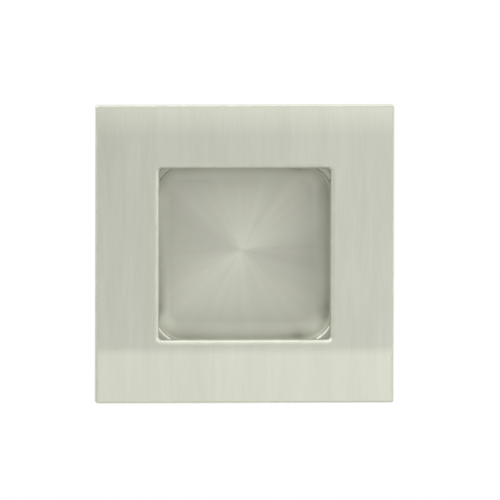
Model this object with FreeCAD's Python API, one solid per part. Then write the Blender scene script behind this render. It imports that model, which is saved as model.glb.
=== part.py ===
import FreeCAD, Part
import os

# Square recessed pull for a sliding pocket door.
# A face plate with a square window stands on the door's surface. Behind the window sits a
# cup drawn from one piece of sheet. Its flange lies in a seat milled into the plate's back,
# flush with it, and is spot-welded there, so that the front shows no fastening.
# Sizes are in millimetres. The door's surface is the plane y = 0, the front looks along -Y,
# Z is up, and the origin is the middle of the plate's back.

# Face plate
window_side = 40.0
border_width = 15.0
plate_thickness = 2.5
plate_corner_radius = 0.6
plate_edge_radius = 0.5
plate_back_chamfer = 0.25
window_corner_radius = 0.6
window_rim_radius = 1.2

# Recess cup
sheet_thickness = 0.8
recess_depth = 12.0
cup_corner_radius = 7.0
cup_floor_radius = 4.0
cup_bend_radius = 0.5
flange_width = 5.0
flange_corner_radius = 8.0

# Fits between the plate and the cup. The plate's edge reaches a little over the cup's walls and
# hides their lip, which shows only where the cup's round corners cut across the window's.
window_cover = 0.5
seat_clearance = 0.2

# Spot welds, two on each side of the flange
weld_pitch = 24.0
weld_diameter = 3.2
weld_tip_diameter = 2.6
weld_depth = 0.12

# A fillet may take this share of the wall that carries it
fillet_share = 0.9

# Planes along Y, from the front to the back
plate_front = -plate_thickness
door_face = 0.0
flange_front = door_face - sheet_thickness
floor_front = plate_front + recess_depth
floor_back = floor_front + sheet_thickness

# Outlines that follow from the window and the border
plate_side = window_side + 2 * border_width
cup_inner_side = window_side + 2 * window_cover
cup_outer_side = cup_inner_side + 2 * sheet_thickness
cup_lip_radius = cup_bend_radius + sheet_thickness
flange_side = cup_outer_side + 2 * (cup_bend_radius + flange_width)
seat_side = flange_side + 2 * seat_clearance
seat_corner_radius = flange_corner_radius + seat_clearance
floor_bend_radius = min(cup_floor_radius, fillet_share * cup_corner_radius)

TOLERANCE = 1e-4


def square_block(side, corner_radius, front, back):
    """A square block centred on the Y axis, with its four long edges rounded."""
    corner = FreeCAD.Vector(-side / 2, front, -side / 2)
    block = Part.makeBox(side, back - front, side, corner)
    long_edges = [e for e in block.Edges if abs(e.Vertexes[0].Y - e.Vertexes[1].Y) > TOLERANCE]
    return block.makeFillet(corner_radius, long_edges)


def square_outline(shape, plane_y, side):
    """The edges of the shape that run round a square of this side in the plane y = plane_y."""

    def on_outline(vertex):
        reach = max(abs(vertex.X), abs(vertex.Z))
        return abs(vertex.Y - plane_y) < TOLERANCE and abs(reach - side / 2) < TOLERANCE

    return [e for e in shape.Edges if all(on_outline(v) for v in e.Vertexes)]


def plate_blank():
    """The bare plate, with its front edge rounded and its back edge broken by a chamfer."""
    edge_radius = min(plate_edge_radius, fillet_share * plate_thickness / 2)
    blank = square_block(plate_side, plate_corner_radius, plate_front, door_face)
    blank = blank.makeFillet(edge_radius, square_outline(blank, plate_front, plate_side))
    return blank.makeChamfer(plate_back_chamfer, square_outline(blank, door_face, plate_side))


def cut_window(plate):
    """The square window, whose front rim is rounded where fingers run over it."""
    window = square_block(window_side, window_corner_radius, plate_front, door_face)
    plate = plate.cut(window)
    rim_radius = min(window_rim_radius, fillet_share * (plate_thickness - sheet_thickness))
    return plate.makeFillet(rim_radius, square_outline(plate, plate_front, window_side))


def cut_seat(plate):
    """The seat in the back, as deep as the sheet is thick, so that the flange lies flush."""
    seat = square_block(seat_side, seat_corner_radius, flange_front, door_face)
    return plate.cut(seat)


def face_plate():
    return cut_seat(cut_window(plate_blank()))


def cup_outside():
    """The outer form: the flange and the walls in one, with the bend between them."""
    walls = square_block(
        cup_outer_side, cup_corner_radius + sheet_thickness, flange_front, floor_back
    )
    outer_bend = floor_bend_radius + sheet_thickness
    walls = walls.makeFillet(outer_bend, square_outline(walls, floor_back, cup_outer_side))
    flange = square_block(flange_side, flange_corner_radius, flange_front, door_face)
    outside = flange.fuse(walls).removeSplitter()
    return outside.makeFillet(cup_bend_radius, square_outline(outside, door_face, cup_outer_side))


def cup_hollow():
    """The inner form: one sheet thickness inside the outer form, so its bends share centres."""
    hollow = square_block(cup_inner_side, cup_corner_radius, flange_front, floor_front)
    return hollow.makeFillet(floor_bend_radius, square_outline(hollow, floor_front, cup_inner_side))


def weld_marks():
    """The shallow prints of the welding tips in the flange's back."""
    line = cup_outer_side / 2 + cup_bend_radius + flange_width / 2
    mark = Part.makeCone(
        weld_diameter / 2,
        weld_tip_diameter / 2,
        weld_depth,
        FreeCAD.Vector(0, door_face, 0),
        FreeCAD.Vector(0, -1, 0),
    )
    marks = []
    for quarter in range(4):
        for along in (-weld_pitch / 2, weld_pitch / 2):
            placed = mark.translated(FreeCAD.Vector(along, 0, line))
            placed.rotate(FreeCAD.Vector(0, 0, 0), FreeCAD.Vector(0, 1, 0), 90 * quarter)
            marks.append(placed)
    return marks


def recess_cup():
    """The drawn cup: the same sheet thickness through flange, bend, walls and floor."""
    cup = cup_outside().cut(cup_hollow())
    cup = cup.makeFillet(cup_lip_radius, square_outline(cup, flange_front, cup_inner_side))
    return cup.cut(weld_marks())


os.makedirs("parts", exist_ok=True)
for name, shape in (("face_plate", face_plate()), ("recess_cup", recess_cup())):
    shape.exportStep("parts/" + name + ".step")
    box = shape.BoundBox
    print(name, "solids", len(shape.Solids), "valid", shape.isValid(), "volume mm3", round(shape.Volume, 1))
    print("  box", [round(v, 3) for v in (box.XMin, box.XMax, box.YMin, box.YMax, box.ZMin, box.ZMax)])
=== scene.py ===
# %% [markdown]
# # A square recessed pull for a pocket door
#
# This is a lesson in cells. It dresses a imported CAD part, a satin stainless steel pull of two
# pieces, and lights it as a small product photograph. Each step says what the thing is on the
# real pull, how it could be made, and why it is made this way here.
#
# Everything is in metres and in the part's own frame: the door's surface is the plane y = 0,
# the front looks along -Y, and +Z is up.

# %% Load the frame
import math

import bpy
import numpy as np
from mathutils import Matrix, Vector


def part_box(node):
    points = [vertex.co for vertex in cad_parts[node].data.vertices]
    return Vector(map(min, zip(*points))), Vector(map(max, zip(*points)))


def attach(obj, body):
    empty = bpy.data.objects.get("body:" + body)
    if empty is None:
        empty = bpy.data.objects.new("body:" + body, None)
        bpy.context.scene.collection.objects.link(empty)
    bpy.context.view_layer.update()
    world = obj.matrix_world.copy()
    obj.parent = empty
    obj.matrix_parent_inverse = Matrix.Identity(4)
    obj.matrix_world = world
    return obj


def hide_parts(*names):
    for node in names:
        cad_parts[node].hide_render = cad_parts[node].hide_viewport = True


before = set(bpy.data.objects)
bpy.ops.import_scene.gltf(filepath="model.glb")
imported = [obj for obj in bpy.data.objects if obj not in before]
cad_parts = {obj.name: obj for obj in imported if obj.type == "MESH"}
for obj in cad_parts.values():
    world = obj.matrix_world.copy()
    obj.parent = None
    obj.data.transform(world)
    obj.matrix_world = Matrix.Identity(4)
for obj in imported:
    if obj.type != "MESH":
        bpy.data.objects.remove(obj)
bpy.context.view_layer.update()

MM = 0.001

# %% [markdown]
# ## Sizes
#
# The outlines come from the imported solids, so that the dressed pieces can't drift away from
# them. A box knows nothing of radii, so those are written once here, in millimetres.

# %% Sizes read from the solids
plate_low, plate_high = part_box("face_plate")
cup_low, cup_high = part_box("recess_cup")

plate_half = plate_high[0]
plate_front = plate_low[1]
door_face = plate_high[1]
flange_half = cup_high[0]
flange_front = cup_low[1]
cup_back = cup_high[1]
sheet = door_face - flange_front
floor_front = cup_back - sheet
print("plate", round(2 * plate_half / MM, 2), "flange", round(2 * flange_half / MM, 2), "mm wide")

# %% Radii and clearances
plate_corner = 0.6 * MM
plate_edge = 0.5 * MM
plate_back_chamfer = 0.25 * MM
window_half = 20.0 * MM
window_corner = 0.6 * MM
window_rim = 1.2 * MM
window_cover = 0.5 * MM
seat_clearance = 0.2 * MM

cup_corner = 7.0 * MM
cup_floor_bend = 4.0 * MM
cup_bend = 0.5 * MM
flange_corner = 8.0 * MM
cup_lip = cup_bend + sheet
cup_half = window_half + window_cover

weld_pitch = 24.0 * MM
weld_radius = 1.6 * MM
weld_depth = 0.12 * MM
weld_line = cup_half + sheet + (flange_half - cup_half - sheet + cup_bend) / 2
print("recess", round((floor_front - plate_front) / MM, 2), "mm deep, sheet", round(sheet / MM, 2), "mm")

# %% [markdown]
# ## One form for both pieces
#
# A milled plate with a window and a cup drawn from sheet look very different, but each keeps
# one section all the way round a square with rounded corners. They could be cubes with bevels
# and booleans, yet then corner radii, shading and streak directions are hard to hold.
#
# Here a section is a list of stretches. Each knows its end points and which way its surface
# faces there. The surface is a function of two parameters: how far round the square, and how
# far along the section. The shading normals come from the same formula, so a broad flat face
# stays flat right up to its rounded edge.

# %% Places round the square
# A bend has ARC_STEPS faces. Along a side the places lie close together over its two weld
# marks, as far as MARK_REACH radii from each middle, and fill at most SIDE_SHARE of the side.
ARC_STEPS = 12
MARK_STEPS = 20
MARK_REACH = 1.25
SIDE_SHARE = 0.97

mark = np.linspace(-MARK_REACH, MARK_REACH, MARK_STEPS + 1) * weld_radius
along_side = np.concatenate([mark - weld_pitch / 2, [0.0], mark + weld_pitch / 2])
turn = np.linspace(0.0, math.pi / 2, ARC_STEPS + 1)


def square_ring(half, corner):
    """Points and outward directions round rounded squares, one row for each half side given.

    On a side: the side's normal times the half side, plus its tangent times the length along.
    In a corner: the corner's centre, plus its radius times the direction of the angle.
    Where the side is too short for the places along it, they move closer together.
    """
    half, corner = np.atleast_1d(half)[:, None, None], np.atleast_1d(corner)[:, None, None]
    closer = np.minimum(1.0, SIDE_SHARE * (half - corner) / along_side.max())
    points, outward = [], []
    for quarter in range(4):
        start = quarter * math.pi / 2
        normal = np.array([math.cos(start), math.sin(start)])
        tangent = np.array([-normal[1], normal[0]])
        ray = np.stack([np.cos(start + turn), np.sin(start + turn)], axis=-1)
        side = half * normal + closer * along_side[None, :, None] * tangent
        points += [side, (half - corner) * (normal + tangent) + corner * ray]
        outward += [np.tile(normal, (len(along_side), 1)), ray]
    return np.concatenate(points, axis=1), np.concatenate(outward)


ring_count = len(square_ring(plate_half, plate_corner)[1])
print("places round the square:", ring_count)

# %% Stretches of a section
FLOOR_SHARES = (0.0, 0.3, 0.65, 1.0)


def straight(start, end, facing, steps=1):
    """A flat stretch between two ends (half side, corner radius, y); facing is (outward, y)."""
    share = np.linspace(0.0, 1.0, steps + 1)[:, None]
    rows = np.array(start) * (1 - share) + np.array(end) * share
    return rows, np.tile(np.array(facing, float), (steps + 1, 1))


def bend(centre_half, centre_corner, centre_y, radius, start, end, hollow=False):
    """A round stretch: the centre plus the radius times the direction of an angle in degrees.

    Angle 0 points outwards and 90 points along +Y. The corner radius grows with the half side,
    so the bend keeps its form round the corner. A hollow bend faces its own centre.
    """
    angle = np.radians(np.linspace(start, end, ARC_STEPS + 1))
    out, deep = radius * np.cos(angle), radius * np.sin(angle)
    rows = np.stack([centre_half + out, centre_corner + out, centre_y + deep], axis=-1)
    facing = np.stack([np.cos(angle), np.sin(angle)], axis=-1)
    return rows, -facing if hollow else facing


def floor(rim, facing, inwards):
    """A flat floor: the rim's ring times shares from 0 to 1, or with inwards from 1 to 0."""
    scales = np.array(FLOOR_SHARES)
    rows = np.column_stack([np.tile(rim, (len(scales), 1)), scales])
    rows = rows[::-1] if inwards else rows
    return rows, np.tile(np.array(facing, float), (len(scales), 1))


print("rows in a bend:", len(bend(0.0, 0.0, 0.0, MM, 0, 90)[0]), "and in a floor:", len(FLOOR_SHARES))

# %% Carry the section round the square
def carry(stretches, closed):
    """Points, faces, a normal for each face corner, and the number of each face's stretch.

    A stretch begins in the row where the one before it ends, and with closed the last one ends
    in the first row. A row whose scale is 0 is one point, so its faces are triangles.
    """
    rows, faces, normals, owner = [], [], [], []
    outward = square_ring(plate_half, plate_corner)[1]
    here, ahead = np.arange(ring_count), np.roll(np.arange(ring_count), -1)
    row_count = sum(len(profile) - 1 for profile, _ in stretches) + (not closed)
    first = 0
    for number, (profile, facing) in enumerate(stretches):
        scale = profile[:, 3:] if profile.shape[1] > 3 else np.ones((len(profile), 1))
        last = len(profile) if number == len(stretches) - 1 and not closed else len(profile) - 1
        rows.append(np.hstack([profile[:, :3], scale])[:last])
        low = first + np.arange(len(profile) - 1)
        high = (low + 1) % row_count
        corners = [(low, here), (high, here), (high, ahead), (low, ahead)]
        faces.append(np.stack([r[:, None] * ring_count + c for r, c in corners], axis=-1))
        ends = [(facing[:-1], here), (facing[1:], here), (facing[1:], ahead), (facing[:-1], ahead)]
        normals.append(np.stack([turned(f, outward[c]) for f, c in ends], axis=2))
        owner.append(np.full(faces[-1].shape[:2], number))
        first += len(profile) - 1
    rows = np.concatenate(rows)
    flat = square_ring(rows[:, 0], rows[:, 1])[0] * rows[:, 3, None, None]
    deep = np.broadcast_to(rows[:, 2, None], flat.shape[:2])
    points = np.stack([flat[..., 0], deep, flat[..., 1]], axis=-1).reshape(-1, 3)
    faces = np.concatenate([f.reshape(-1, 4) for f in faces])
    faces = np.where(rows[faces // ring_count, 3] == 0, faces - faces % ring_count, faces)
    normals = np.concatenate([n.reshape(-1, 4, 3) for n in normals])
    return points, faces, normals, np.concatenate([o.ravel() for o in owner])


def turned(facing, ray):
    """Normals on a grid: the outward share along each place's ray, the rest along Y."""
    out = facing[:, None, 0, None] * ray
    deep = np.broadcast_to(facing[:, None, 1, None], out.shape[:2] + (1,))
    return np.concatenate([out[..., :1], deep, out[..., 1:]], axis=-1)


trial = carry([straight((1.0, 0.1, 0.0), (2.0, 0.2, 0.0), (0, -1))], closed=False)
print("faces in one flat stretch round the square:", len(trial[1]))

# %% [markdown]
# The arrays go into Blender in one step each. A face at a floor's middle has two corners on the
# same point, so one of them is left out and the face is a triangle.

# %% Make a mesh from the arrays
def make_piece(name, points, faces, normals, materials, slots):
    """A mesh object with exact shading normals and a material for each face."""
    keep = np.ones(faces.shape, bool)
    keep[:, 3] = faces[:, 3] != faces[:, 0]
    keep[:, 2] = faces[:, 2] != faces[:, 1]
    corners, sizes = faces[keep], keep.sum(axis=1)
    used, corners = np.unique(corners, return_inverse=True)
    mesh = bpy.data.meshes.new(name)
    mesh.vertices.add(len(used))
    mesh.vertices.foreach_set("co", points[used].ravel())
    mesh.loops.add(len(corners))
    mesh.loops.foreach_set("vertex_index", corners.ravel())
    mesh.polygons.add(len(sizes))
    mesh.polygons.foreach_set("loop_start", np.cumsum(sizes) - sizes)
    for material in materials:
        mesh.materials.append(material)
    mesh.polygons.foreach_set("material_index", slots)
    mesh.update(calc_edges=True)
    mesh.normals_split_custom_set(normals[keep])
    piece = bpy.data.objects.new(name, mesh)
    bpy.context.scene.collection.objects.link(piece)
    print(name, "points", len(used), "faces", len(sizes), "mended", mesh.validate())
    return piece


# %% [markdown]
# ## Colour and nodes
#
# Colours are written as on a colour chart, in sRGB, and one function turns them linear. One
# helper adds a node with its settings and its links, so each material below reads as a recipe.

# %% Helpers for materials
def linear(code):
    """An sRGB hex colour as linear red, green, blue and alpha.

    A share of up to 0.04045 is divided by 12.92. A larger one has 0.055 added, is divided by
    1.055 and raised to 2.4.
    """
    shares = [int(code[i : i + 2], 16) / 255 for i in (0, 2, 4)]
    return [s / 12.92 if s <= 0.04045 else ((s + 0.055) / 1.055) ** 2.4 for s in shares] + [1.0]


def add(tree, kind, inputs=(), **settings):
    """Add a node, apply its settings, and fill its inputs: a socket is linked, a value is set."""
    made = tree.nodes.new(kind)
    for key, value in settings.items():
        setattr(made, key, value)
    for key, value in dict(inputs).items():
        if isinstance(value, bpy.types.NodeSocket):
            tree.links.new(value, made.inputs[key])
        else:
            made.inputs[key].default_value = value
    return made


def new_material(name):
    """An empty node material and its tree."""
    material = bpy.data.materials.new(name)
    material.use_nodes = True
    material.node_tree.nodes.clear()
    return material, material.node_tree


def finished(material, settings):
    """The material, ended in a Principled shader with these settings."""
    tree = material.node_tree
    shader = add(tree, "ShaderNodeBsdfPrincipled", settings).outputs[0]
    add(tree, "ShaderNodeOutputMaterial", {"Surface": shader})
    print("finish", material.name, "nodes", len(tree.nodes))
    return material


print("the chart's grey 808080 gives back", round(linear("808080")[0], 3), "of the light")

# %% [markdown]
# ## Straight-brushed stainless steel
#
# The plate's face is austenitic stainless steel, drawn under an abrasive belt with its lines
# running up and down. Each line is a groove, so light spreads across the lines and hardly along
# them: a lamp becomes a wide soft glow sideways, while a level edge stays fairly crisp.
#
# A stretched noise alone would only colour the steel. So three things follow the lines here:
# the spread of the highlight, by the tangent, the depth of the grooves, by the bump, and a
# faint change of tone. Real lines are about 0.05 mm wide, too fine for the picture. So the
# finest are drawn 0.09 mm wide, and three coarser bands of them are added, as a worn belt
# leaves them. Last, the face is painted a trace brighter on its right and darker on its left,
# which is painted light.

# %% What the steel finishes share
STEEL_DARK = "BDBFB2"
STEEL_BRIGHT = "CFD1C4"
DEEP = (0.0, 1.0, 0.0)
UPRIGHT = (0.0, 0.0, 1.0)
TRACE_OF_X = (0.001, 0.0, 0.0)


def lines(tree, place, steps, detail=2.0):
    """Noise drawn out into lines: the place divided by a step along each axis."""
    scale = [1.0 / step for step in steps]
    moved = add(tree, "ShaderNodeMapping", {"Vector": place, "Scale": scale}).outputs[0]
    noise = {"Vector": moved, "Scale": 1.0, "Detail": detail}
    return add(tree, "ShaderNodeTexNoise", noise).outputs["Fac"]


def blend_lines(tree, parts):
    """One half, plus each noise's distance from one half times its weight."""
    total = 0.5 - sum(weight for _, weight in parts) / 2
    for noise, weight in parts:
        inputs = {0: noise, 1: weight, 2: total}
        total = add(tree, "ShaderNodeMath", inputs, operation="MULTIPLY_ADD").outputs[0]
    return total


def across_grooves(tree, groove):
    """The surface direction across the grooves: the normal crossed with the groove.

    Where a surface is cut square to its grooves that product is nothing, so a trace of X is
    added, which matters nowhere else.
    """
    normal = add(tree, "ShaderNodeNewGeometry").outputs["Normal"]
    inputs = {0: normal, 1: groove}
    across = add(tree, "ShaderNodeVectorMath", inputs, operation="CROSS_PRODUCT").outputs[0]
    inputs = {0: across, 1: TRACE_OF_X}
    return add(tree, "ShaderNodeVectorMath", inputs, operation="ADD").outputs[0]


def climb(tree):
    """A socket from 0 on a floor to 1 on a wall: the length of the normal crossed with Y."""
    normal = add(tree, "ShaderNodeNewGeometry").outputs["Normal"]
    inputs = {0: normal, 1: DEEP}
    sideways = add(tree, "ShaderNodeVectorMath", inputs, operation="CROSS_PRODUCT").outputs[0]
    return add(tree, "ShaderNodeVectorMath", {0: sideways}, operation="LENGTH").outputs["Value"]


def steel_colour(tree, tone, dark=STEEL_DARK, bright=STEEL_BRIGHT):
    """Steel from its darker to its brighter tone, by a socket from 0 to 1."""
    inputs = {0: tone, 6: linear(dark), 7: linear(bright)}
    return add(tree, "ShaderNodeMix", inputs, data_type="RGBA").outputs[2]


print("steel from", STEEL_DARK, "to", STEEL_BRIGHT)

# %% The plate's face
# The steps of a band are the width of its lines, their depth into the plate and their length.
HAIR = (0.09 * MM, 0.5 * MM, 14 * MM)
FINE = (0.45 * MM, 2 * MM, 7 * MM)
COARSE = (1.6 * MM, 8 * MM, 14 * MM)
BROAD = (7 * MM, 40 * MM, 40 * MM)
GROOVE_DEPTH = 0.004 * MM
FACE_SMOOTH, FACE_ROUGH = 0.27, 0.37


def plate_face():
    """Stainless steel, belt-brushed up and down: a soft glow sideways, crisp edges upwards."""
    material, tree = new_material("stainless_straight_brushed")
    place = add(tree, "ShaderNodeTexCoord").outputs["Object"]
    hair = lines(tree, place, HAIR)
    fine = lines(tree, place, FINE)
    coarse = lines(tree, place, COARSE)
    broad = lines(tree, place, BROAD, detail=1.0)
    # Painted light: a ramp across X paints the face brighter towards its right and darker on its left.
    across = add(tree, "ShaderNodeSeparateXYZ", {0: place}).outputs["X"]
    reached = {"Value": across, "From Min": -plate_half, "From Max": plate_half}
    painted_light_to_right = add(tree, "ShaderNodeMapRange", reached).outputs[0]
    bands = [(hair, 0.3), (fine, 0.5), (coarse, 0.45), (broad, 0.6), (painted_light_to_right, 0.38)]
    grooves = blend_lines(tree, [(hair, 0.7), (fine, 0.3)])
    spread = {"Value": grooves, "To Min": FACE_SMOOTH, "To Max": FACE_ROUGH}
    bump = {"Height": grooves, "Distance": GROOVE_DEPTH}
    settings = {
        "Base Color": steel_colour(tree, blend_lines(tree, bands)),
        "Metallic": 1.0,
        "Roughness": add(tree, "ShaderNodeMapRange", spread).outputs[0],
        "Anisotropic": 0.8,
        "Tangent": across_grooves(tree, UPRIGHT),
        "Normal": add(tree, "ShaderNodeBump", bump).outputs[0],
    }
    return finished(material, settings)


brushed_face = plate_face()

# %% [markdown]
# ## Rounded edges
#
# The edges were rounded after the face was brushed. The window's rim was dressed along its
# length with a fine abrasive, and the outer edge was blasted duller after that. What grooves
# are left follow the edge, so a lamp draws one soft line along it. The face's own finish could
# run on over the edges, but its upright grooves would break that line.

# %% The window's rim and the outer edge
EDGE_CLOUD = (2 * MM, 2 * MM, 2 * MM)
BLASTED = 0.62
DRESSED = 0.46


def rounded_edge(name, roughness):
    """Stainless steel that was dressed along its edge, so its grooves follow the edge.

    An edge runs along the normal crossed with Y, so across its grooves is the normal crossed
    with that.
    """
    material, tree = new_material(name)
    place = add(tree, "ShaderNodeTexCoord").outputs["Object"]
    normal = add(tree, "ShaderNodeNewGeometry").outputs["Normal"]
    inputs = {0: normal, 1: DEEP}
    along = add(tree, "ShaderNodeVectorMath", inputs, operation="CROSS_PRODUCT").outputs[0]
    settings = {
        "Base Color": steel_colour(tree, lines(tree, place, EDGE_CLOUD, detail=3.0)),
        "Metallic": 1.0,
        "Roughness": roughness,
        "Anisotropic": 0.5,
        "Tangent": across_grooves(tree, along),
    }
    return finished(material, settings)


blasted_edge = rounded_edge("stainless_blasted_edge", BLASTED)
dressed_rim = rounded_edge("stainless_dressed_rim", DRESSED)

# %% [markdown]
# ## Turned stainless steel
#
# The blank for the cup was brushed on a turntable before it was drawn, so its grooves are
# circles about the middle of the floor. Light spreads across them, which here is outwards from
# the middle, and that is what makes the bright and dark sectors that turn with the eye.
#
# A painted star would look the same from one side only. So the star isn't painted: the tangent
# follows the circles and the lamps make the sectors. Rings and faint rays add what a real
# turntable leaves, where the hand pressed harder for part of a turn. They are drawn coarser
# than real ones, which would be too fine to show. The pad rests longest on the middle, which
# leaves it smoother. The middle is also painted a trace brighter and the floor darker towards
# the walls, and the bends and walls are painted greyer: this is painted light and shade.

# %% The cup's inside
# The pattern lies on the ray from the axis, of length 1, and on the run: how far a place is
# from the axis, less its y. So the first and the last of a band's steps are shares of the ray,
# and the middle one is a length.
RING_HAIR = (0.9, 0.09 * MM, 0.9)
RING_FINE = (1.4, 0.4 * MM, 1.4)
RAYS = (0.14, 30 * MM, 0.14)
SWEEPS = (0.5, 60 * MM, 0.5)
# Painted light: the floor is painted brighter within this reach of the middle.
PAINTED_BRIGHT_MIDDLE = 7 * MM
BRUSH_REACH = 24 * MM
ROUGH_MIDDLE, ROUGH_EDGE, ROUGH_SWING = 0.34, 0.45, 0.08
# Painted shade: the bends and walls are painted towards this darker grey.
PAINTED_WALL_SHADE = "B7B8AB"
TURNED_DARK = "C0C1B3"
TURNED_BRIGHT = "D4D6C9"


def cup_inside():
    """Stainless steel, brushed in circles about the Y axis: sectors that turn with the eye.

    The groove at a place runs along its ray from the axis crossed with Y.
    """
    material, tree = new_material("stainless_turned")
    place = add(tree, "ShaderNodeTexCoord").outputs["Object"]
    x, y, z = add(tree, "ShaderNodeSeparateXYZ", {0: place}).outputs
    flat = add(tree, "ShaderNodeCombineXYZ", {"X": x, "Z": z}).outputs[0]
    reach = add(tree, "ShaderNodeVectorMath", {0: flat}, operation="LENGTH").outputs["Value"]
    ray = add(tree, "ShaderNodeVectorMath", {0: flat}, operation="NORMALIZE").outputs[0]
    inputs = {0: ray, 1: DEEP}
    groove = add(tree, "ShaderNodeVectorMath", inputs, operation="CROSS_PRODUCT").outputs[0]
    run = add(tree, "ShaderNodeMath", {0: reach, 1: y}, operation="SUBTRACT").outputs[0]
    ray_x, _, ray_z = add(tree, "ShaderNodeSeparateXYZ", {0: ray}).outputs
    inputs = {"X": ray_x, "Y": run, "Z": ray_z}
    turned_place = add(tree, "ShaderNodeCombineXYZ", inputs).outputs[0]

    ring_hair = lines(tree, turned_place, RING_HAIR)
    ring_fine = lines(tree, turned_place, RING_FINE)
    rays = lines(tree, turned_place, RAYS, detail=2.5)
    sweeps = lines(tree, turned_place, SWEEPS, detail=1.0)
    # Painted shade: the tone falls from the middle outwards, so the floor darkens towards the walls.
    inputs = {"Value": reach, "From Max": PAINTED_BRIGHT_MIDDLE}
    painted_shade_off_middle = add(tree, "ShaderNodeMapRange", inputs).outputs[0]
    rings = [(ring_hair, 0.15), (ring_fine, 0.2)]
    tone = blend_lines(tree, rings + [(rays, 0.5), (sweeps, 0.6), (painted_shade_off_middle, -0.25)])
    turned_steel = steel_colour(tree, tone, TURNED_DARK, TURNED_BRIGHT)
    # Painted shade: the colour turns to the darker grey as the surface climbs from floor to wall.
    inputs = {0: climb(tree), 6: turned_steel, 7: linear(PAINTED_WALL_SHADE)}
    colour = add(tree, "ShaderNodeMix", inputs, data_type="RGBA").outputs[2]

    grooves = blend_lines(tree, [(ring_hair, 0.7), (ring_fine, 0.3)])
    inputs = {"Value": reach, "From Max": BRUSH_REACH, "To Min": ROUGH_MIDDLE, "To Max": ROUGH_EDGE}
    coarser = add(tree, "ShaderNodeMapRange", inputs).outputs[0]
    inputs = {0: grooves, 1: ROUGH_SWING, 2: coarser}
    roughness = add(tree, "ShaderNodeMath", inputs, operation="MULTIPLY_ADD").outputs[0]
    bump = {"Height": grooves, "Distance": GROOVE_DEPTH}
    settings = {
        "Base Color": colour,
        "Metallic": 1.0,
        "Roughness": roughness,
        "Anisotropic": 0.9,
        "Tangent": across_grooves(tree, groove),
        "Normal": add(tree, "ShaderNodeBump", bump).outputs[0],
    }
    return finished(material, settings)


turned_inside = cup_inside()

# %% [markdown]
# ## The lip and the flange's front
#
# A little of the cup's lip and flange shows behind the window's corners. The lip slid over the
# die's edge, which burnished it smooth, so a lamp draws a thin bright line on it. The lip is
# painted a little darker and the flange's front dull and dark: both are painted shade of the
# window's corners. They could share the cup's own finish, but then its edge would hardly show there.

# %% Burnished lip and flange front, painted with shade
LIP_CLOUD = (1.5 * MM, 1.5 * MM, 1.5 * MM)


def clouded_steel(name, dark, bright, roughness, detail):
    """Steel without grooves, a little cloudy between two tones."""
    material, tree = new_material(name)
    place = add(tree, "ShaderNodeTexCoord").outputs["Object"]
    cloud = lines(tree, place, LIP_CLOUD, detail)
    settings = {
        "Base Color": steel_colour(tree, cloud, dark, bright),
        "Metallic": 1.0,
        "Roughness": roughness,
    }
    return finished(material, settings)


# Painted shade: the lip's darker tones and the flange front's dark tones stand for the shade in the
# window's corners.
burnished_lip_painted_shade = clouded_steel("stainless_burnished_lip", "96978C", "A8A99E", 0.31, detail=3.0)
painted_shade_flange = clouded_steel("stainless_welding_scale", "9A9B90", "B6B7AC", 0.6, detail=4.0)

# %% [markdown]
# ## The hidden side
#
# Nobody brushes what goes into the door. The back keeps the mill's own finish, a dull, slightly
# cloudy grey with the faint lines of the rolls. On the cup's walls they give way to lines that
# the die dragged along the draw. Where the spot welds were made the steel has taken heat, which
# leaves a straw and blue ring round each print of the tip.
#
# The heat colour could be painted on a map of its own. Here it is worked out from the distance
# to the nearest mark, so it always lies round the marks.

# %% Heat colour round the welds
# A ring is its colour, the distances from a mark's middle where it starts to fade and where it
# has faded, and its strength.
TINT_STRAW = "B39A63"
TINT_BLUE = "7C8793"
HEAT_RINGS = ((TINT_STRAW, 1.2 * MM, 3.4 * MM, 0.75), (TINT_BLUE, 0.9 * MM, 2.3 * MM, 0.6))


def heat_tint(tree, place, colour):
    """Colour the steel by its distance from the nearest of the eight weld marks.

    The marks repeat in every quarter and on both sides of its middle, so the place is folded:
    the larger of |x| and |z| runs across the flange, the smaller runs along it.
    """
    x, _, z = add(tree, "ShaderNodeSeparateXYZ", {0: place}).outputs
    wide = add(tree, "ShaderNodeMath", {0: x}, operation="ABSOLUTE").outputs[0]
    high = add(tree, "ShaderNodeMath", {0: z}, operation="ABSOLUTE").outputs[0]
    across = add(tree, "ShaderNodeMath", {0: wide, 1: high}, operation="MAXIMUM").outputs[0]
    along = add(tree, "ShaderNodeMath", {0: wide, 1: high}, operation="MINIMUM").outputs[0]
    folded = add(tree, "ShaderNodeCombineXYZ", {"X": across, "Y": along}).outputs[0]
    inputs = {0: folded, 1: (weld_line, weld_pitch / 2, 0.0)}
    away = add(tree, "ShaderNodeVectorMath", inputs, operation="DISTANCE").outputs["Value"]
    for code, inner, outer, strength in HEAT_RINGS:
        faded = {"Value": away, "From Min": inner, "From Max": outer}
        faded.update({"To Min": strength, "To Max": 0.0})
        share = add(tree, "ShaderNodeMapRange", faded, interpolation_type="SMOOTHSTEP").outputs[0]
        inputs = {0: share, 6: colour, 7: linear(code)}
        colour = add(tree, "ShaderNodeMix", inputs, data_type="RGBA").outputs[2]
    return colour


print("heat colour reaches", round(max(outer for _, _, outer, _ in HEAT_RINGS) / MM, 1), "mm")

# %% Mill finish
ROLLED = (0.5 * MM, 3 * MM, 30 * MM)
DRAGGED = (0.35 * MM, 20 * MM, 0.35 * MM)
MILL_CLOUD = (9 * MM, 9 * MM, 9 * MM)
GRAIN = (0.12 * MM, 0.12 * MM, 0.12 * MM)
GRAIN_DEPTH = 0.006 * MM
MILL_SMOOTH, MILL_ROUGH = 0.42, 0.54
MILL_DARK = "A8AAA1"
MILL_BRIGHT = "BEC0B6"


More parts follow.
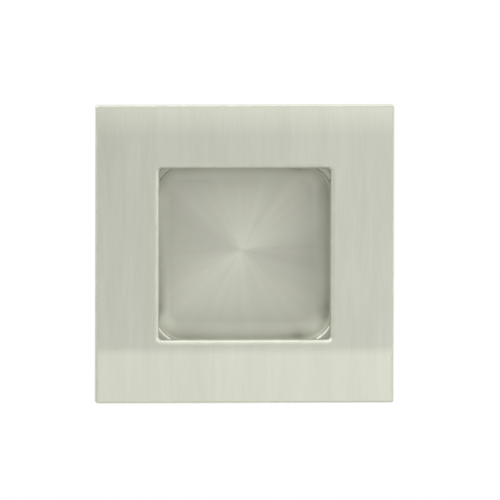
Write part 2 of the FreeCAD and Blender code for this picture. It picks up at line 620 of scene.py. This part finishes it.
def mill_finish(name, drawn):
    """Rolled steel; with drawn, it has draw marks on its walls and heat colour round its welds."""
    material, tree = new_material(name)
    place = add(tree, "ShaderNodeTexCoord").outputs["Object"]
    marks = lines(tree, place, ROLLED)
    if drawn:
        dragged = lines(tree, place, DRAGGED, detail=3.0)
        inputs = {0: climb(tree), 2: marks, 3: dragged}
        marks = add(tree, "ShaderNodeMix", inputs, data_type="FLOAT").outputs[0]
    cloud = lines(tree, place, MILL_CLOUD, detail=4.0)
    grain = lines(tree, place, GRAIN)
    tone = blend_lines(tree, [(marks, 0.6), (cloud, 1.0), (grain, 0.3)])
    colour = steel_colour(tree, tone, MILL_DARK, MILL_BRIGHT)
    if drawn:
        colour = heat_tint(tree, place, colour)
    grooves = blend_lines(tree, [(marks, 0.4), (grain, 0.6)])
    spread = {"Value": tone, "To Min": MILL_SMOOTH, "To Max": MILL_ROUGH}
    bump = {"Height": grooves, "Distance": GRAIN_DEPTH}
    settings = {
        "Base Color": colour,
        "Metallic": 1.0,
        "Roughness": add(tree, "ShaderNodeMapRange", spread).outputs[0],
        "Normal": add(tree, "ShaderNodeBump", bump).outputs[0],
    }
    return finished(material, settings)


milled_back = mill_finish("stainless_milled_back", drawn=False)
mill_outside = mill_finish("stainless_mill_finish", drawn=True)

# %% [markdown]
# ## The face plate
#
# The plate is 2.5 mm thick, cut from bar. Its section runs over the front from the window's
# rounded rim to the outer edge, down the side, over the broken back edge, and through the seat
# that is milled for the cup's flange. Each stretch can have a finish of its own.

# %% Build the face plate
FRONT, BACK, OUT, IN = (0, -1), (0, 1), (1, 0), (-1, 0)
SLANT = (math.sqrt(0.5), math.sqrt(0.5))
seat_half = flange_half + seat_clearance
seat_corner = flange_corner + seat_clearance
rim_inner = (window_half, window_corner, plate_front + window_rim)
rim_outer = (window_half + window_rim, window_corner + window_rim, plate_front)
face_outer = (plate_half - plate_edge, plate_corner - plate_edge, plate_front)
side_front = (plate_half, plate_corner, plate_front + plate_edge)
side_back = (plate_half, plate_corner, door_face - plate_back_chamfer)
back_outer = (plate_half - plate_back_chamfer, plate_corner - plate_back_chamfer, door_face)
seat_top = (seat_half, seat_corner, door_face)
seat_bottom = (seat_half, seat_corner, flange_front)
window_back = (window_half, window_corner, flange_front)

plate_section = [
    straight(rim_outer, face_outer, FRONT),
    bend(face_outer[0], face_outer[1], side_front[2], plate_edge, -90, 0),
    straight(side_front, side_back, OUT),
    straight(side_back, back_outer, SLANT),
    straight(back_outer, seat_top, BACK),
    straight(seat_top, seat_bottom, IN),
    straight(seat_bottom, window_back, BACK),
    straight(window_back, rim_inner, IN),
    bend(rim_outer[0], rim_outer[1], rim_inner[2], window_rim, 180, 270),
]
BACK_STRETCHES = (3, 4, 5, 6)
OUTER_EDGE, WINDOW_RIM = 1, 8
points, faces, normals, owner = carry(plate_section, closed=True)
slots = np.isin(owner, BACK_STRETCHES) + 2 * (owner == OUTER_EDGE) + 3 * (owner == WINDOW_RIM)
plate_finishes = [brushed_face, milled_back, blasted_edge, dressed_rim]
plate = make_piece("face_plate_brushed", points, faces, normals, plate_finishes, slots)
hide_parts("face_plate")
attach(plate, "root")

# %% [markdown]
# ## The recess cup
#
# The cup is drawn from one sheet, so its inside and its outside are the same section a sheet's
# thickness apart, and their bends share centres. The section starts in the middle of the floor,
# climbs the wall, turns over the lip into the flange, and comes back on the outside.
#
# The prints of the welding tips are real dents in the flange's back. They are made by moving
# points, with the dent's own slope in the shading normals.

# %% The cup's section
wall_outer = cup_half + sheet
bend_half = cup_half - cup_floor_bend
bend_corner = cup_corner - cup_floor_bend
bend_y = floor_front - cup_floor_bend
lip_half = cup_half + cup_lip
lip_corner = cup_corner + cup_lip
lip_y = flange_front + cup_lip
outer_bend = cup_floor_bend + sheet
outer_corner = cup_corner + sheet
flange_front_in = (lip_half, lip_corner, flange_front)
flange_front_out = (flange_half, flange_corner, flange_front)
flange_back_out = (flange_half, flange_corner, door_face)
flange_back_in = (lip_half, lip_corner, door_face)
# The burnished part of the lip starts at this angle, and the flange's back has rows enough
# for the dents.
BURNISHED_FROM = 210
FLANGE_STEPS = 26

cup_section = [
    floor((bend_half, bend_corner, floor_front), FRONT, inwards=False),
    bend(bend_half, bend_corner, bend_y, cup_floor_bend, 90, 0, hollow=True),
    straight((cup_half, cup_corner, bend_y), (cup_half, cup_corner, lip_y), IN),
    bend(lip_half, lip_corner, lip_y, cup_lip, 180, BURNISHED_FROM),
    bend(lip_half, lip_corner, lip_y, cup_lip, BURNISHED_FROM, 270),
    straight(flange_front_in, flange_front_out, FRONT),
    straight(flange_front_out, flange_back_out, OUT),
    straight(flange_back_out, flange_back_in, BACK, FLANGE_STEPS),
    bend(lip_half, lip_corner, lip_y, cup_bend, 270, 180, hollow=True),
    straight((wall_outer, outer_corner, lip_y), (wall_outer, outer_corner, bend_y), OUT),
    bend(bend_half, bend_corner, bend_y, outer_bend, 0, 90),
    floor((bend_half, bend_corner, cup_back), BACK, inwards=True),
]
INSIDE_STRETCHES = (0, 1, 2, 3)
LIP, FLANGE_FRONT, FLANGE_BACK = 4, 5, 7
print("stretches of the cup's section:", len(cup_section))

# %% Press the weld marks
WELD_RIM = 0.35 * MM
ON_PLANE = 1e-9


def nearest_mark(flat):
    """The step from the nearest weld mark's centre: two on each side of the square.

    The longer of |x| and |z| tells on which side a point is. Both keep the point's signs.
    """
    size, sign = np.abs(flat), np.where(flat < 0, -1.0, 1.0)
    across = size >= size[:, ::-1]
    return flat - sign * np.where(across, weld_line, weld_pitch / 2)


def dent(away):
    """Depth and slope at a distance from a mark: a smooth step over the print's rim.

    The share goes from 0 at the print's edge to 1 inside its rim. The depth is the full depth
    times 3 shares squared less 2 shares cubed, and the slope is how fast that changes.
    """
    share = np.clip((weld_radius - away) / WELD_RIM, 0.0, 1.0)
    depth = weld_depth * share**2 * (3 - 2 * share)
    return depth, -weld_depth * 6 * share * (1 - share) / WELD_RIM


points, faces, normals, owner = carry(cup_section, closed=False)
on_flange = np.abs(points[:, 1] - door_face) < ON_PLANE
step = nearest_mark(points[:, [0, 2]])
away = np.linalg.norm(step, axis=1)
depth, slope = dent(away)
lean = step * slope[:, None] / away[:, None]
leaning = np.stack([lean[:, 0], np.ones(len(lean)), lean[:, 1]], axis=-1)
leaning /= np.linalg.norm(leaning, axis=1, keepdims=True)
normals[owner == FLANGE_BACK] = leaning[faces[owner == FLANGE_BACK]]
points[on_flange, 1] -= depth[on_flange]
print("deepest weld mark", round(depth[on_flange].max() / MM, 3), "mm")

# %% Make the recess cup
slots = np.where(np.isin(owner, INSIDE_STRETCHES), 0, 1)
slots[owner == FLANGE_FRONT] = 2
slots[owner == LIP] = 3
cup_finishes = [turned_inside, mill_outside, painted_shade_flange, burnished_lip_painted_shade]
cup = make_piece("recess_cup_drawn", points, faces, normals, cup_finishes, slots)
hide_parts("recess_cup")
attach(cup, "root")

# %% [markdown]
# ## Floor and background
#
# The floor is a pale round board below the picture's edge. The background is the world: white
# where the camera or the steel looks at it, a little less for its own light. The steel sees the
# board as white as the rest, so that no grey edge runs through its reflections. A cove of
# paper would do the same, but its curve would show in the views from behind.

# %% Paints for the studio
MATT = 0.9
BOARD_WHITE = "F2F2F0"
BOARD_ROUGH = 0.8
FLOOR_DROP = 0.12
FLOOR_FULL = 0.15
FLOOR_RADIUS = 0.4


def plain(name, code):
    """A matt paint for things that stand round the object."""
    material, _ = new_material(name)
    return finished(material, {"Base Color": linear(code), "Roughness": MATT})


def reflected(tree, kinds):
    """A socket that is 1 for rays of any of these kinds and 0 for all others."""
    rays = add(tree, "ShaderNodeLightPath").outputs
    seen = rays[kinds[0]]
    for kind in kinds[1:]:
        inputs = {0: seen, 1: rays[kind]}
        seen = add(tree, "ShaderNodeMath", inputs, operation="MAXIMUM").outputs[0]
    return seen


def floor_paint():
    """Matt white board that runs out into the white room, and is plain white to the steel.

    The paint is whole up to FLOOR_FULL from the pull's middle and gone at FLOOR_RADIUS.
    """
    material, tree = new_material("floor_board")
    place = add(tree, "ShaderNodeTexCoord").outputs["Object"]
    away = add(tree, "ShaderNodeVectorMath", {0: place}, operation="LENGTH").outputs["Value"]
    faded = {"Value": away, "From Min": FLOOR_FULL, "From Max": FLOOR_RADIUS}
    gone = add(tree, "ShaderNodeMapRange", faded, interpolation_type="SMOOTHSTEP").outputs[0]
    seen = reflected(tree, ["Is Glossy Ray", "Is Transmission Ray"])
    share = add(tree, "ShaderNodeMath", {0: seen, 1: gone}, operation="MAXIMUM").outputs[0]
    paint = {"Base Color": linear(BOARD_WHITE), "Roughness": BOARD_ROUGH}
    painted = add(tree, "ShaderNodeBsdfPrincipled", paint).outputs[0]
    white = add(tree, "ShaderNodeEmission", {"Strength": 1.0}).outputs[0]
    shader = add(tree, "ShaderNodeMixShader", {0: share, 1: painted, 2: white}).outputs[0]
    add(tree, "ShaderNodeOutputMaterial", {"Surface": shader})
    print("finish", material.name, "nodes", len(tree.nodes))
    return material


# %% Lay the floor
def stage_piece(name, points, faces, material):
    """A flat thing that is part of the studio and not of the object."""
    mesh = bpy.data.meshes.new(name)
    mesh.from_pydata(points, [], faces)
    mesh.materials.append(material)
    made = bpy.data.objects.new(name, mesh)
    bpy.context.scene.collection.objects.link(made)
    return made


ROUND_STEPS = 96
angle = np.linspace(0, 2 * math.pi, ROUND_STEPS, endpoint=False)
rim = np.stack([np.cos(angle), np.sin(angle), np.zeros(ROUND_STEPS)], axis=-1) * FLOOR_RADIUS
rim[:, 2] = -FLOOR_DROP
stage_piece("floor", rim.tolist(), [list(range(ROUND_STEPS))], floor_paint())
print("floor", FLOOR_DROP, "m below the pull's middle")

# %% Light the world
WORLD_SEEN = 1.0
WORLD_LIGHT = 0.4
world = bpy.data.worlds.new("studio")
world.use_nodes = True
bpy.context.scene.world = world
tree = world.node_tree
tree.nodes.clear()
seen = reflected(tree, ["Is Camera Ray", "Is Glossy Ray", "Is Transmission Ray"])
inputs = {"Value": seen, "To Min": WORLD_LIGHT, "To Max": WORLD_SEEN}
strength = add(tree, "ShaderNodeMapRange", inputs).outputs[0]
inputs = {"Color": (1, 1, 1, 1), "Strength": strength}
light = add(tree, "ShaderNodeBackground", inputs).outputs[0]
add(tree, "ShaderNodeOutputWorld", {"Surface": light})
print("the room is", WORLD_SEEN, "to the eye and", WORLD_LIGHT, "as a light")

# %% [markdown]
# ## Lamps and cards
#
# Steel shows what stands round it. The white room alone would light it evenly, so soft boxes
# are added where the steel is brighter, and grey cards where it is darker. Each is placed by
# two angles seen from the pull, as a photographer would.
#
# Most of them are far off the front, where the flat plate doesn't show them: the wide one above
# draws the line on the window's lower rim, the ones at the sides draw the other rims, the cup's
# bends and the lip in its corners. The one underneath hangs a little behind the plate, so that
# it reaches only the plate's lower edge. Only the two narrow ones above and below the camera
# and the two cards are near the front. In the cup's turned floor each of these draws a bright
# or a dark sector through the middle.

# %% Hang the lamps
def aimed(thing, place, target):
    """Put a thing at a place with its -Z side towards a target."""
    place, target = Vector(place), Vector(target)
    thing.location = place
    thing.rotation_euler = (target - place).to_track_quat("-Z", "Y").to_euler()
    bpy.context.scene.collection.objects.link(thing)


def seen_at(right, above, away):
    """The place at these degrees to the right of the pull's front and above it, so far away."""
    right, above = math.radians(right), math.radians(above)
    level = math.cos(above)
    return Vector((math.sin(right) * level, -math.cos(right) * level, math.sin(above))) * away


def lamp(name, place, width, height, brightness):
    """A soft box aimed at the pull that the camera doesn't see.

    Its brightness is compared with the white room's. A flat lamp's brightness is its power over
    pi and over its area.
    """
    data = bpy.data.lights.new(name, "AREA")
    data.shape = "RECTANGLE"
    data.size, data.size_y = width, height
    data.energy = brightness * math.pi * width * height
    made = bpy.data.objects.new(name, data)
    made.visible_camera = False
    aimed(made, place, (0, 0, 0))


lamp("overhead", seen_at(0, 79, 0.8), 1.6, 0.43, 2.1)
lamp("upper_left", seen_at(-74, 44, 0.8), 0.35, 0.8, 2.6)
lamp("upper_right", seen_at(64, 26, 0.8), 0.55, 0.6, 1.35)
lamp("side_right", seen_at(81, 2, 0.8), 0.3, 0.8, 1.1)
lamp("side_left", seen_at(-75, 0, 0.8), 0.3, 0.8, 0.6)
lamp("underneath", seen_at(0, -105, 0.1), 0.3, 0.05, 1.6)
lamp("narrow_high", seen_at(4.3, 20, 1.5), 0.12, 0.5, 0.9)
lamp("narrow_low", seen_at(4.3, -20, 1.5), 0.1, 0.5, 3.0)
print("lamps", len(bpy.data.lights))


# %% Stand the cards
def card(name, place, width, height, material):
    """An upright card that faces the pull and that the camera doesn't see."""
    turn = (-place).to_track_quat("-Z", "Y").to_matrix()
    signs = ((-1, -1), (1, -1), (1, 1), (-1, 1))
    corners = [Vector((right * width / 2, up * height / 2, 0)) for right, up in signs]
    points = [tuple(turn @ corner + place) for corner in corners]
    made = stage_piece(name, points, [(0, 1, 2, 3)], material)
    made.visible_camera = False
    return made


grey = plain("grey_card", "B8B8B8")
card("card_left", seen_at(-42, 4, 0.2), 0.095, 0.11, grey)
card("card_low_right", seen_at(20, -20, 1.2), 0.4, 0.4, grey)

# %% [markdown]
# ## A band of light
#
# A small hard lamp close to the camera mirrors in the flat plate and would brighten all of it.
# Two flags stand in its way, which only cast shadows. The near one keeps the light to the
# plate's lower band, with a fairly sharp edge, and the far one lets it fade in at the top.

# %% Hang the small lamp and its flags
SMALL_LAMP = seen_at(4, -4.4, 2.0)
SMALL_SIDE = 0.025
SMALL_BRIGHTNESS = 165
FLAG_HALF = 60 * MM
lamp("front_low", SMALL_LAMP, SMALL_SIDE, SMALL_SIDE, SMALL_BRIGHTNESS)


def flag(name, away, low, high, material):
    """A level strip so far before the plate that its shadow covers the heights low to high.

    A ray from the lamp meets the strip at the share of its way that is away over the lamp's
    distance, counted from the plate.
    """
    share = away / -SMALL_LAMP.y
    low, high = (z * (1 - share) + SMALL_LAMP.z * share for z in (low, high))
    outline = ((-FLAG_HALF, low), (FLAG_HALF, low), (FLAG_HALF, high), (-FLAG_HALF, high))
    points = [(x, -away, z) for x, z in outline]
    made = stage_piece(name, points, [(0, 1, 2, 3)], material)
    made.visible_camera = made.visible_glossy = made.visible_diffuse = False
    print(name, "from", round(low / MM, 1), "to", round(high / MM, 1), "mm high")


black = plain("black_flag", "202020")
flag("flag_near", 0.15, -22.5 * MM, 10 * MM, black)
flag("flag_far", 0.4, 0.0, 31 * MM, black)

# %% [markdown]
# ## Camera
#
# The photograph was taken from a little to the left and a little above. Seen so, the floor of
# the cup shifts up and left against the plate, and that shift gave both angles. The lens is
# long because the plate's edges hardly converge, and a trace of roll levels them.

# %% Set the camera
CAMERA_LEFT = 4.0
CAMERA_ABOVE = 4.4
CAMERA_ROLL = 0.15
CAMERA_AWAY = 4.0
VIEW_WIDTH = 0.117
MOVED_RIGHT, MOVED_UP = 1.18 * MM, 1.02 * MM
SENSOR_WIDTH = 36.0

data = bpy.data.cameras.new("camera")
data.sensor_width = SENSOR_WIDTH
data.lens = data.sensor_width * CAMERA_AWAY / VIEW_WIDTH
camera = bpy.data.objects.new("camera", data)
back = seen_at(-CAMERA_LEFT, CAMERA_ABOVE, 1.0)
left = math.radians(CAMERA_LEFT)
right = Vector((math.cos(left), -math.sin(left), 0.0))
up = back.cross(right)
middle = Vector((0, plate_front, 0)) + right * MOVED_RIGHT + up * MOVED_UP
aimed(camera, middle + back * CAMERA_AWAY, middle)
camera.rotation_euler.rotate_axis("Z", math.radians(CAMERA_ROLL))
bpy.context.scene.camera = camera
bpy.context.scene.view_settings.view_transform = "Standard"
print("camera at", [round(c, 3) for c in camera.location], "up", [round(c, 3) for c in up])
